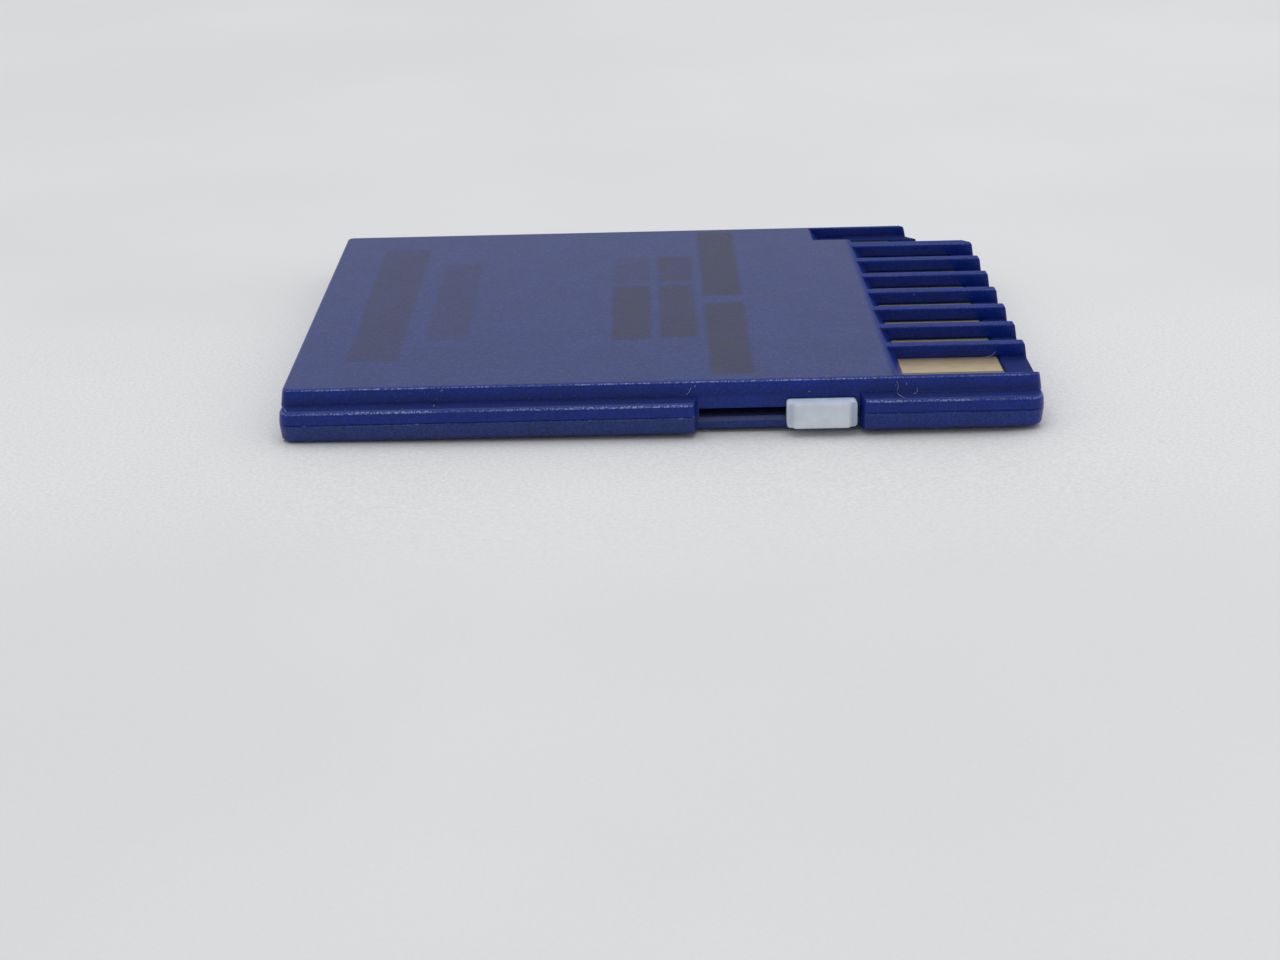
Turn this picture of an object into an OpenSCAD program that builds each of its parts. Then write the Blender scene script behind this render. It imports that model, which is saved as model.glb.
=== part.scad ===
// Full-size memory card, lying on its label side with the contacts up.
// x runs from the rear end to the contact end, y from the switch side to the
// cut-corner side, z up. The origin is the middle of the underside.

/* [Card] */
// Length, rear end to contact end
card_length = 32; // [31.8:0.1:32.2]
// Width over both side ledges
card_width = 24; // [23.9:0.1:24.1]
// Thickness over the contact-side layer
card_height = 2.1; // [2.05:0.05:2.25]
// Height of the ledge along each side
ledge_height = 1.4; // [1.38:0.01:1.42]
// Width of each side ledge
ledge_width = 0.75; // [0.7:0.01:0.8]
// Leg of the cut corner
corner_cut = 4; // [3.8:0.1:4.1]
// Radius of the two rear corners
rear_radius = 0.6; // [0.5:0.1:1]
// Radius of the front corner beside the switch
front_radius = 0.65; // [0.5:0.05:0.9]

/* [Shells] */
// Height of the seam between the two shells
seam_height = 0.77; // [0.74:0.01:0.79]
// Floor thickness of the label-side shell
floor_height = 0.34; // [0.32:0.01:0.36]
// Depth of the label recess in the underside
label_recess_depth = 0.1; // [0.05:0.01:0.12]
// Radius of the top edge of each ledge
ledge_edge_radius = 0.24; // [0.15:0.01:0.26]
// Radius of the top edge of the contact-side layer
top_edge_radius = 0.13; // [0.1:0.01:0.16]
// Radius of the bottom edge
bottom_edge_radius = 0.22; // [0.12:0.01:0.26]
// Bevel on each side of the seam
seam_bevel = 0.05; // [0.03:0.01:0.06]
// Taper of the label-side shell's sides from the seam to the underside
side_taper = 0.05; // [0.02:0.01:0.06]
// Taper of the contact-side layer from the ledge to its top edge
top_taper = 0.09; // [0.03:0.01:0.1]

/* [Contact slots] */
// Spacing of the ribs between the contact slots
rib_pitch = 2.5; // [2.49:0.01:2.51]
// Width of a rib
rib_width = 0.47; // [0.42:0.01:0.5]
// Place of the first rib's switch-side face, across the card
first_rib_y = -7.35; // [-7.38:0.01:-7.25]
// Number of ribs
rib_count = 7; // [7:1:7]
// Place of the slots' rear edge at the top face
slot_rear_x = 9.8; // [9.7:0.05:9.9]
// Place of the rear edge of the slot beside the cut corner
corner_slot_rear_x = 7.92; // [7.85:0.01:8]
// Run of the sloping rear wall of a slot
slot_slope_run = 0.55; // [0.45:0.01:0.6]
// Bevel along the top edges of the ribs
rib_bevel = 0.05; // [0.03:0.01:0.06]

/* [Write-protect switch] */
// Rear end of the switch notch
notch_rear_x = 1.52; // [1.45:0.01:1.55]
// Front end of the switch notch
notch_front_x = 8.32; // [8.3:0.01:8.36]
// Flare of the notch ends towards the card's side
notch_flare = 0.18; // [0.14:0.01:0.2]
// Rear end of the slider in its unlocked place
slider_rear_x = 5.23; // [5.21:0.01:5.25]
// Length of the slider
slider_length = 2.93; // [2.9:0.01:2.95]
// Height of the groove that the slider runs in
groove_height = 0.44; // [0.42:0.01:0.46]
// Underside of that groove
groove_z = 0.45; // [0.44:0.01:0.46]
// Running gap round the slider
slider_gap = 0.05; // [0.04:0.01:0.06]

/* [Circuit board] */
// Thickness of the board
board_thickness = 0.4; // [0.36:0.01:0.42]
// Depth of the contact surface under the top face
contact_depth = 0.62; // [0.6:0.01:0.64]
// Width of a contact
contact_width = 1.8; // [1.7:0.05:1.85]
// Thickness of a contact
contact_thickness = 0.04; // [0.03:0.01:0.05]
// Front end of the contacts
contact_front_x = 14.64; // [14.55:0.01:14.66]

/* [Hidden] */
$fn = 64;
eps = 0.01;
beyond = 0.4;

half_length = card_length / 2;
half_width = card_width / 2;
top_half_width = half_width - ledge_width;

// Walls and inner space
wall = 0.55;
inner_rear_x = -half_length + 0.7;
inner_front_x = half_length - 1.22;
inner_half_width = top_half_width - wall;
slot_side_y = -top_half_width + 0.32;
corner_side_y = 10.5;
ceiling_height = card_height - 0.35;
ceiling_step_x = 7.2;
rim_depth = 1.15;
end_inset = 0.04;
top_corner_radius = 0.42;
ledge_taper = 0.03;

// Contact level
contact_z = card_height - contact_depth;
lip_z = ledge_height;
first_rib_far_y = first_rib_y + rib_width;
slot_width = rib_pitch - rib_width;

// Slot beside the cut corner
corner_slot_inner_y = first_rib_y + (rib_count - 1) * rib_pitch + 0.63;
corner_slot_rear_inner_y = corner_slot_inner_y + 0.57;
corner_slot_outer_y = top_half_width - 0.28;
corner_shelf_z = contact_z + 0.05;

// Small locking notch in the ledge on the cut-corner side
lock_notch_rear_x = 2.7;
lock_notch_front_x = 4.8;
notch_bevel = 0.12;

// Slider
slider_front_x = slider_rear_x + slider_length;
slider_low_z = 0.17;
slider_high_z = 1.26;
slider_corner_radius = 0.15;
slider_face_y = -half_width + 0.14;
slider_pad_y = -half_width + 0.03;
slider_pad_inset = 0.26;
slider_pad_slope = 0.1;
slider_back_y = -top_half_width - slider_gap;
slider_web_inset = 0.28;
keeper_inset = 0.18;
keeper_depth = 0.38;
keeper_y = -inner_half_width + 0.04;
keeper_low_z = 0.4;
keeper_high_z = 1.2;
rail_bevel = 0.18;

// Board
board_z = contact_z - board_thickness;
board_rear_x = -13;
board_front_x = contact_front_x + 0.06;
board_step_x = 9.2;
board_near_y = -9.95;
board_far_y = 10.2;
board_front_near_y = slot_side_y + 0.02;
board_front_far_y = corner_side_y - 0.05;
contact_rear_x = 9.5;
corner_contact_rear_x = 8.4;
corner_contact_front_x = 12.4;
via_radius = 0.15;

// Flash memory package under the board
flash_center_x = -5.6;
flash_center_y = 0.2;
flash_length_x = 12;
flash_length_y = 15.4;
flash_height = 0.58;
flash_standoff = 0.06;
flash_lead_count = 24;
flash_lead_pitch = 0.5;
flash_lead_width = 0.2;
flash_lead_thickness = 0.12;
flash_lead_reach = 0.78;
flash_foot = 0.4;
flash_dimple_radius = 0.5;
flash_dimple_depth = 0.08;
flash_top_z = board_z - flash_standoff;

// Controller under the board
controller_center_x = 5;
controller_center_y = 2.4;
controller_size = 6;
controller_height = 0.6;
terminal_count = 10;
terminal_pitch = 0.5;
terminal_width = 0.24;
terminal_depth = 0.3;
terminal_height = 0.12;

// Capacitors and resistors under the board
chip_length = 1;
chip_width = 0.5;
chip_end = 0.2;
capacitor_height = 0.5;
resistor_height = 0.34;
capacitor_places = [
    [2.2, -3.6, 0], [3.9, -3.6, 0], [5.6, -3.6, 0], [7.3, -3.6, 0],
    [2.2, 7.2, 0], [3.9, 7.2, 0], [9.2, 5.2, 90], [9.2, 3.2, 90]
];
resistor_places = [
    [5.8, 7.2, 0], [7.4, 7.2, 0], [9.2, 1.2, 90], [9.2, -0.8, 90]
];
test_pad_radius = 0.4;
test_pad_places = [[11, -8], [11, -6], [11, -4], [11, 4], [11, 6], [11, 8]];

// Posts that carry the board
post_radius = 0.5;
post_places = [
    [-12.3, -9.2], [-12.3, 9.4], [1.3, -8.4], [1.3, 9.4],
    [12.6, -9.8], [12.6, 0], [10.4, 9.6]
];

// Corners of a rectangular outline: place, radius, direction of the side
// that runs in, turn
function outline_corners(rear, front, side, rear_r, front_r) = [
    [[rear, -side], rear_r, -90, 90],
    [[front, -side], front_r, 0, 90],
    [[front, side], front_r, 90, 90],
    [[rear, side], rear_r, 180, 90]
];
function unit(angle) = [cos(angle), sin(angle)];
function corner_run(corner) = corner[1] * tan(corner[3] / 2);
function corner_center(corner) =
    corner[0] - corner_run(corner) * unit(corner[2])
    + corner[1] * unit(corner[2] + 90);
function side_end(corner) = corner[0] - corner_run(corner) * unit(corner[2]);
function side_start(corner) =
    corner[0] + corner_run(corner) * unit(corner[2] + corner[3]);

// Sweeps the child, a side profile with its outer face at x = 0, round the
// outline: straight along each side and turned about each corner
module swept_rim(corners) {
    count = len(corners);
    for (i = [0:count - 1]) {
        corner = corners[i];
        last = corners[(i + count - 1) % count];
        side_length = norm(side_end(corner) - side_start(last));
        translate(side_end(corner))
            rotate([0, 0, corner[2] - 90])
                rotate([90, 0, 0])
                    linear_extrude(side_length)
                        children();
        translate(corner_center(corner))
            rotate([0, 0, corner[2] - 90])
                rotate_extrude(angle = corner[3])
                    intersection() {
                        translate([corner[1], 0])
                            children();
                        translate([0, -beyond])
                            square([rim_depth, card_height + 2 * beyond]);
                    }
    }
}

// Quarter disc that rounds an edge, its round side towards +x and +y
module edge_quarter(radius) {
    intersection() {
        circle(radius);
        square(radius + eps);
    }
}

// Side profile of the label-side shell
module label_shell_profile(depth) {
    r = bottom_edge_radius;
    polygon([
        [-depth, 0],
        [-side_taper - r, 0],
        [-side_taper - r, r],
        [-side_taper, r],
        [0, seam_height - seam_bevel],
        [-seam_bevel, seam_height],
        [-depth, seam_height]
    ]);
    translate([-side_taper - r, r])
        mirror([0, 1])
            edge_quarter(r);
}

// Side profile of the ledge on the contact-side shell
module ledge_profile(depth) {
    r = ledge_edge_radius;
    polygon([
        [-depth, seam_height],
        [-seam_bevel, seam_height],
        [0, seam_height + seam_bevel],
        [-ledge_taper, ledge_height - r],
        [-ledge_taper - r, ledge_height - r],
        [-ledge_taper - r, ledge_height],
        [-depth, ledge_height]
    ]);
    translate([-ledge_taper - r, ledge_height - r])
        edge_quarter(r);
}

// Side profile of the contact-side layer over the ledge
module top_layer_profile(depth) {
    r = top_edge_radius;
    polygon([
        [-depth, ledge_height - ledge_edge_radius],
        [0, ledge_height - ledge_edge_radius],
        [0, ledge_height],
        [-top_taper, card_height - r],
        [-top_taper - r, card_height - r],
        [-top_taper - r, card_height],
        [-depth, card_height]
    ]);
    translate([-top_taper - r, card_height - r])
        edge_quarter(r);
}

// Fills the middle of a swept rim
module slab_core(rear, front, side, low, high) {
    inset = rim_depth / 2;
    translate([rear + inset, -side + inset, low])
        cube([front - rear - 2 * inset, 2 * side - 2 * inset, high - low]);
}

// The child, a side profile, run along the cut corner. What is behind it is
// kept of whatever it is intersected with
module cut_side(inset) {
    middle = [half_length - corner_cut / 2, half_width - corner_cut / 2];
    translate(middle - inset * unit(45))
        rotate([0, 0, 45])
            rotate([90, 0, 0])
                linear_extrude(2 * card_length, center = true)
                    children();
}

// Inner space seen from above, its front corner cut with the card's
module inner_outline(near_y, far_y, cut_inset) {
    cut_sum = half_length + half_width - corner_cut - cut_inset * sqrt(2);
    polygon([
        [ceiling_step_x, near_y],
        [inner_front_x, near_y],
        [inner_front_x, cut_sum - inner_front_x],
        [cut_sum - far_y, far_y],
        [ceiling_step_x, far_y]
    ]);
}

// Switch notch seen from above: it widens towards the card's side
module notch_outline() {
    back_y = -top_half_width;
    side_y = -half_width;
    bevel = notch_bevel;
    flare_rate = notch_flare / ledge_width;
    bevel_flare = notch_flare - bevel * flare_rate;
    polygon([
        [notch_rear_x, back_y],
        [notch_front_x, back_y],
        [notch_front_x + bevel_flare, side_y + bevel],
        [notch_front_x + notch_flare + bevel, side_y],
        [notch_front_x + notch_flare + bevel, side_y - beyond],
        [notch_rear_x - notch_flare - bevel, side_y - beyond],
        [notch_rear_x - notch_flare - bevel, side_y],
        [notch_rear_x - bevel_flare, side_y + bevel]
    ]);
}

module switch_notch() {
    translate([0, 0, -beyond])
        linear_extrude(ledge_height + beyond)
            notch_outline();
}

// Groove through the side wall for the slider's web
module slider_groove() {
    end_wall = 0.05;
    translate([notch_rear_x + end_wall, -half_width, groove_z])
        cube([
            notch_front_x - notch_rear_x - 2 * end_wall,
            half_width - inner_half_width + eps,
            groove_height
        ]);
}

module lock_notch() {
    translate([lock_notch_rear_x, top_half_width, -beyond])
        cube([
            lock_notch_front_x - lock_notch_rear_x,
            ledge_width + beyond,
            ledge_height + beyond
        ]);
}

// Opening of one contact slot: sloping rear wall, floor at the front lip
module slot_opening(near_y, far_y, rear_x, floor_z) {
    rate = slot_slope_run / contact_depth;
    above = card_height + beyond;
    translate([0, far_y, 0])
        rotate([90, 0, 0])
            linear_extrude(far_y - near_y)
                polygon([
                    [rear_x - beyond * rate, above],
                    [rear_x + (card_height - floor_z) * rate, floor_z],
                    [half_length + beyond, floor_z],
                    [half_length + beyond, above]
                ]);
    slot_top_bevel(near_y, far_y, rear_x);
}

module slot_top_bevel(near_y, far_y, rear_x) {
    b = rib_bevel;
    translate([rear_x, 0, 0])
        rotate([90, 0, 90])
            linear_extrude(half_length + beyond - rear_x)
                polygon([
                    [near_y, card_height - b],
                    [near_y - b - beyond, card_height + beyond],
                    [far_y + b + beyond, card_height + beyond],
                    [far_y, card_height - b]
                ]);
}

module contact_slots() {
    slot_opening(slot_side_y, first_rib_y, slot_rear_x, lip_z);
    for (i = [0:rib_count - 2])
        translate([0, i * rib_pitch, 0])
            slot_opening(
                first_rib_far_y, first_rib_far_y + slot_width,
                slot_rear_x, lip_z
            );
    slot_opening(
        corner_slot_inner_y, corner_side_y, slot_rear_x, lip_z
    );
    slot_opening(
        corner_slot_rear_inner_y, corner_side_y, corner_slot_rear_x, lip_z
    );
    slot_opening(
        corner_slot_rear_inner_y, corner_slot_outer_y,
        corner_slot_rear_x, corner_shelf_z
    );
}

module board_posts() {
    for (place = post_places)
        translate([place[0], place[1], floor_height - eps])
            cylinder(r = post_radius, h = board_z - floor_height + eps);
}

module label_recess() {
    margin_end = 1.1;
    margin_side = 1.05;
    radius = 0.6;
    long = card_length - 2 * margin_end - 0.9;
    wide = card_width - 2 * margin_side;
    translate([-half_length + margin_end, -wide / 2, -beyond])
        linear_extrude(label_recess_depth + beyond)
            difference() {
                square([long, wide]);
                translate([long, wide])
                    rotate(45)
                        square(2 * corner_cut, center = true);
                for (corner = [[0, 0], [long, 0], [0, wide]])
                    translate(corner)
                        rotate(45)
                            square(radius, center = true);
            }
}

module label_shell_slab() {
    corners = outline_corners(
        -half_length, half_length, half_width, rear_radius, front_radius
    );
    intersection() {
        union() {
            swept_rim(corners)
                label_shell_profile(rim_depth);
            slab_core(-half_length, half_length, half_width, 0, seam_height);
        }
        cut_side(0)
            label_shell_profile(2 * card_width);
    }
}

module label_shell() {
    color([0.13, 0.17, 0.42])
        difference() {
            label_shell_slab();
            translate([inner_rear_x, -inner_half_width, floor_height])
                cube([
                    ceiling_step_x - inner_rear_x + eps,
                    2 * inner_half_width,
                    card_height
                ]);
            translate([0, 0, floor_height])
                linear_extrude(card_height)
                    inner_outline(slot_side_y, corner_side_y, 0.95);
            switch_notch();
            slider_groove();
            lock_notch();
            label_recess();
            rail_bevel_cut();
        }
    color([0.13, 0.17, 0.42])
        board_posts();
}

// Takes the edge off the rail under the slider groove
module rail_bevel_cut() {
    translate([notch_rear_x, -top_half_width, groove_z])
        rotate([90, 0, 90])
            linear_extrude(notch_front_x - notch_rear_x)
                polygon([
                    [-beyond, eps],
                    [rail_bevel, eps],
                    [0, -rail_bevel],
                    [-beyond, -rail_bevel]
                ]);
}

module ledge_slab() {
    corners = outline_corners(
        -half_length, half_length, half_width, rear_radius, front_radius
    );
    intersection() {
        union() {
            swept_rim(corners)
                ledge_profile(rim_depth);
            slab_core(
                -half_length, half_length, half_width, seam_height, ledge_height
            );
        }
        cut_side(0)
            ledge_profile(2 * card_width);
    }
}

module top_layer_slab() {
    rear = -half_length + end_inset;
    front = half_length - end_inset;
    corners = outline_corners(
        rear, front, top_half_width, top_corner_radius, top_corner_radius
    );
    intersection() {
        union() {
            swept_rim(corners)
                top_layer_profile(rim_depth);
            slab_core(
                rear, front, top_half_width,
                ledge_height - ledge_edge_radius, card_height
            );
        }
        cut_side(end_inset)
            top_layer_profile(2 * card_width);
    }
}

module contact_shell() {
    color([0.11, 0.14, 0.4])
        difference() {
            union() {
                ledge_slab();
                top_layer_slab();
            }
            translate([inner_rear_x, -inner_half_width, 0])
                cube([
                    ceiling_step_x - inner_rear_x + eps,
                    2 * inner_half_width,
                    ceiling_height
                ]);
            linear_extrude(contact_z)
                inner_outline(slot_side_y, corner_side_y, 0.95);
            contact_slots();
            switch_notch();
            slider_groove();
            lock_notch();
        }
}

// Face of the slider: an end-to-end plate with a raised middle pad, a web
// through the groove and a keeper behind the wall
module write_protect_slider() {
    color([0.75, 0.77, 0.82]) {
        translate([0, slider_back_y, 0])
            rotate([90, 0, 0])
                linear_extrude(slider_back_y - slider_face_y)
                    slider_face_outline();
        translate([0, 0, slider_low_z - eps])
            linear_extrude(slider_high_z - slider_low_z + 2 * eps)
                slider_pad_outline();
        translate([
            slider_rear_x + slider_web_inset,
            slider_back_y - eps,
            groove_z + slider_gap
        ])
            cube([
                slider_length - 2 * slider_web_inset,
                keeper_y - slider_back_y + 2 * eps,
                groove_height - 2 * slider_gap
            ]);
        translate([slider_rear_x + keeper_inset, keeper_y, keeper_low_z])
            cube([
                slider_length - 2 * keeper_inset,
                keeper_depth,
                keeper_high_z - keeper_low_z
            ]);
    }
}

module slider_face_outline() {
    r = slider_corner_radius;
    translate([slider_rear_x, slider_low_z])
        hull()
            for (x = [r, slider_length - r])
                for (z = [r, slider_high_z - slider_low_z - r])
                    translate([x, z])
                        circle(r, $fn = 32);
}

module slider_pad_outline() {
    polygon([
        [slider_rear_x + slider_pad_inset, slider_face_y + eps],
        [slider_rear_x + slider_pad_inset + slider_pad_slope, slider_pad_y],
        [slider_front_x - slider_pad_inset - slider_pad_slope, slider_pad_y],
        [slider_front_x - slider_pad_inset, slider_face_y + eps]
    ]);
}

// Contact number to its middle across the card. Contacts 7 and 8 share the
// wide slot beside the switch side, contact 9 is beside the cut corner
function contact_y(number) =
    number == 9 ? (corner_slot_inner_y + corner_side_y) / 2
    : number == 8 ? slot_side_y + 0.05 + contact_width / 2 - 0.1
    : number == 7 ? first_rib_y - contact_width / 2
    : first_rib_far_y + slot_width / 2 + (6 - number) * rib_pitch;
function contact_size_y(number) =
    number == 8 ? contact_width - 0.2 : contact_width;
function contact_rear(number) =
    number == 9 ? corner_contact_rear_x : contact_rear_x;
function contact_front(number) =
    number == 9 ? corner_contact_front_x : contact_front_x;

module contact_plate(number) {
    color([0.72, 0.6, 0.38])
        contact_solid(number);
}

module contact_solid(number) {
    wide = contact_size_y(number);
    translate([
        contact_rear(number),
        contact_y(number) - wide / 2,
        contact_z - contact_thickness
    ])
        cube([
            contact_front(number) - contact_rear(number),
            wide,
            contact_thickness
        ]);
}

module contact_1() { contact_plate(1); }
module contact_2() { contact_plate(2); }
module contact_3() { contact_plate(3); }
module contact_4() { contact_plate(4); }
module contact_5() { contact_plate(5); }
module contact_6() { contact_plate(6); }
module contact_7() { contact_plate(7); }
module contact_8() { contact_plate(8); }
module contact_9() { contact_plate(9); }

module board_outline() {
    cut_sum = half_length + half_width - corner_cut - 1.15 * sqrt(2);
    polygon([
        [board_rear_x, board_near_y],
        [board_step_x, board_near_y],
        [board_step_x, board_front_near_y],
        [board_front_x, board_front_near_y],
        [board_front_x, cut_sum - board_front_x],
        [cut_sum - board_front_far_y, board_front_far_y],
        [ceiling_step_x + 0.1, board_front_far_y],
        [ceiling_step_x + 0.1, board_far_y],
        [board_rear_x, board_far_y]
    ]);
}

module circuit_board() {
    color([0.08, 0.2, 0.12])
        difference() {
            translate([0, 0, board_z])
                linear_extrude(board_thickness)
                    board_outline();
            for (number = [1:9])
                contact_solid(number);
            for (number = [1:8])
                translate([contact_rear_x - 0.5, contact_y(number), 0])
                    cylinder(r = via_radius, h = card_height, $fn = 24);
        }
}

module flash_package() {
    low_z = flash_top_z - flash_height;
    corner = flash_length_x / 2 - 1.2;
    color([0.06, 0.06, 0.07])
        translate([flash_center_x, flash_center_y, low_z])
            difference() {
                translate([-flash_length_x / 2, -flash_length_y / 2, 0])
                    cube([flash_length_x, flash_length_y, flash_height]);
                translate([-corner, -flash_length_y / 2 + 1.2, -beyond])
                    cylinder(
                        r = flash_dimple_radius,
                        h = flash_dimple_depth + beyond
                    );
            }
}

// One gull-wing lead: out of the package, up and flat against the board
module flash_lead() {
    t = flash_lead_thickness;
    exit_z = flash_top_z - flash_height / 2;
    shoulder = flash_lead_reach - flash_foot;
    foot_z = board_z;
    rotate([90, 0, 90])
        translate([0, 0, -flash_lead_width / 2])
            linear_extrude(flash_lead_width)
                polygon([
                    [0, exit_z - t / 2],
                    [shoulder, exit_z - t / 2],
                    [shoulder + t, foot_z - t],
                    [flash_lead_reach, foot_z - t],
                    [flash_lead_reach, foot_z],
                    [shoulder - t / 2, foot_z],
                    [shoulder - t, exit_z + t / 2],
                    [0, exit_z + t / 2]
                ]);
}

module flash_leads() {
    span = (flash_lead_count - 1) * flash_lead_pitch;
    color([0.7, 0.7, 0.68])
        for (side = [0, 1])
            for (i = [0:flash_lead_count - 1])
                translate([flash_center_x, flash_center_y, 0])
                    mirror([0, side, 0])
                        translate([
                            i * flash_lead_pitch - span / 2,
                            flash_length_y / 2,
                            0
                        ])
                            flash_lead();
}

module controller_terminal_row(grow) {
    span = (terminal_count - 1) * terminal_pitch;
    for (turn = [0:90:270])
        rotate([0, 0, turn])
            for (i = [0:terminal_count - 1])
                translate([
                    i * terminal_pitch - span / 2 - terminal_width / 2,
                    controller_size / 2 - terminal_depth,
                    board_z - terminal_height
                ])
                    cube([
                        terminal_width,
                        terminal_depth + grow,
                        terminal_height + grow
                    ]);
}

module controller_chip() {
    half = controller_size / 2;
    color([0.07, 0.07, 0.08])
        translate([controller_center_x, controller_center_y, 0])
            difference() {
                translate([-half, -half, board_z - controller_height])
                    cube([controller_size, controller_size, controller_height]);
                controller_terminal_row(eps);
            }
}

module controller_terminals() {
    color([0.75, 0.74, 0.7])
        translate([controller_center_x, controller_center_y, 0])
            controller_terminal_row(0);
}

// Middle of a chip part, between its metal ends
module chip_middle(height) {
    translate([-chip_length / 2 + chip_end, -chip_width / 2, board_z - height])
        cube([chip_length - 2 * chip_end, chip_width, height]);
}

module chip_ends(height) {
    for (x = [-chip_length / 2, chip_length / 2 - chip_end])
        translate([x, -chip_width / 2, board_z - height])
            cube([chip_end, chip_width, height]);
}

module at_places(places) {
    for (place = places)
        translate([place[0], place[1], 0])
            rotate([0, 0, place[2]])
                children();
}

module capacitor_bodies() {
    color([0.6, 0.48, 0.36])
        at_places(capacitor_places)
            chip_middle(capacitor_height);
}

module capacitor_ends() {
    color([0.78, 0.78, 0.76])
        at_places(capacitor_places)
            chip_ends(capacitor_height);
}

module resistor_bodies() {
    color([0.1, 0.1, 0.11])
        at_places(resistor_places)
            chip_middle(resistor_height);
}

module resistor_ends() {
    color([0.78, 0.78, 0.76])
        at_places(resistor_places)
            chip_ends(resistor_height);
}

module test_pads() {
    height = 0.03;
    color([0.72, 0.6, 0.38])
        for (place = test_pad_places)
            translate([place[0], place[1], board_z - height])
                cylinder(r = test_pad_radius, h = height);
}

label_shell();
contact_shell();
write_protect_slider();
circuit_board();
contact_1();
contact_2();
contact_3();
contact_4();
contact_5();
contact_6();
contact_7();
contact_8();
contact_9();
flash_package();
flash_leads();
controller_chip();
controller_terminals();
capacitor_bodies();
capacitor_ends();
resistor_bodies();
resistor_ends();
test_pads();
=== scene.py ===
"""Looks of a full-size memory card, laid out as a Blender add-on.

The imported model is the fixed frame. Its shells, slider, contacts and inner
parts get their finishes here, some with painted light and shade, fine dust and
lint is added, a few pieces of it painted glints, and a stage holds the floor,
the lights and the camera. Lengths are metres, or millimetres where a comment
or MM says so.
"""

import math
import random

import bmesh
import bpy
from bpy.props import (
    FloatProperty,
    FloatVectorProperty,
    IntProperty,
    PointerProperty,
)
from bpy.types import Operator, Panel, PropertyGroup
from mathutils import Matrix, Vector


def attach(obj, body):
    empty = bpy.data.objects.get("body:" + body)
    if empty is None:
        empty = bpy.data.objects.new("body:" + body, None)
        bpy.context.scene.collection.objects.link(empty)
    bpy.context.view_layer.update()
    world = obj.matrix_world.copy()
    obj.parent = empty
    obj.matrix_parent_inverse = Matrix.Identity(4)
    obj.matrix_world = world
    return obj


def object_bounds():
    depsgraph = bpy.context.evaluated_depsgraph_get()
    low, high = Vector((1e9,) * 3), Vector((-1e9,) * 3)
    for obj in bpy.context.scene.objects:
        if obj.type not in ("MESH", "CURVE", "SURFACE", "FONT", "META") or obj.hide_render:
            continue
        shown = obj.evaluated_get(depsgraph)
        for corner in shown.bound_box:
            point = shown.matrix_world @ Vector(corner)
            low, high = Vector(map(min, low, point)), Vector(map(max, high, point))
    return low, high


bl_info = {
    "name": "Memory Card Looks",
    "version": (1, 0, 0),
    "blender": (4, 5, 0),
    "location": "View3D > Sidebar > Memory Card",
    "description": "Finishes, dust and stage of a full-size memory card",
    "category": "Object",
}

MM = 0.001
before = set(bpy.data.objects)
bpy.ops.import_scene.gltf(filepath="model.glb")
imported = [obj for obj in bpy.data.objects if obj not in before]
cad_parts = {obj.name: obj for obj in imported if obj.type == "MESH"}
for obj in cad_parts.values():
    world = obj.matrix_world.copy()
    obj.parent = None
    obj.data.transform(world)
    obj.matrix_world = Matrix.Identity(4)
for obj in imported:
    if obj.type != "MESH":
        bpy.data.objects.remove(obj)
CAD_BOX = [list(corner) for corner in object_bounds()]

CONTACTS = [f"contact_{number}" for number in range(1, 10)]
TINNED = ["flash_leads", "controller_terminals", "capacitor_ends", "resistor_ends"]
# First of the two value inputs and the output of a Mix node, for each data type
MIX_SOCKETS = {"VECTOR": (4, 1), "RGBA": (6, 2)}

# Places that the finishes follow, in millimetres
TOP = CAD_BOX[1][2] / MM
LEDGE_TOP = 1.4
RIB_START = (9.55, 9.85)
RAIL_BEVEL = (0.30, 0.47)
SEAM = (0.715, 0.775)


class Wire:
    """An output socket of a graph. Arithmetic on it adds Math nodes."""

    def __init__(self, graph, socket):
        self.graph = graph
        self.socket = socket

    def __add__(self, other):
        return self.graph.math("ADD", self, other)

    def __radd__(self, other):
        return self.graph.math("ADD", other, self)

    def __sub__(self, other):
        return self.graph.math("SUBTRACT", self, other)

    def __rsub__(self, other):
        return self.graph.math("SUBTRACT", other, self)

    def __mul__(self, other):
        return self.graph.math("MULTIPLY", self, other)

    def __rmul__(self, other):
        return self.graph.math("MULTIPLY", other, self)

    def __truediv__(self, other):
        return self.graph.math("DIVIDE", self, other)

    def __rtruediv__(self, other):
        return self.graph.math("DIVIDE", other, self)

    def __gt__(self, other):
        return self.graph.math("GREATER_THAN", self, other)

    def __lt__(self, other):
        return self.graph.math("LESS_THAN", self, other)

    def __abs__(self):
        return self.graph.math("ABSOLUTE", self)


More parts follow.
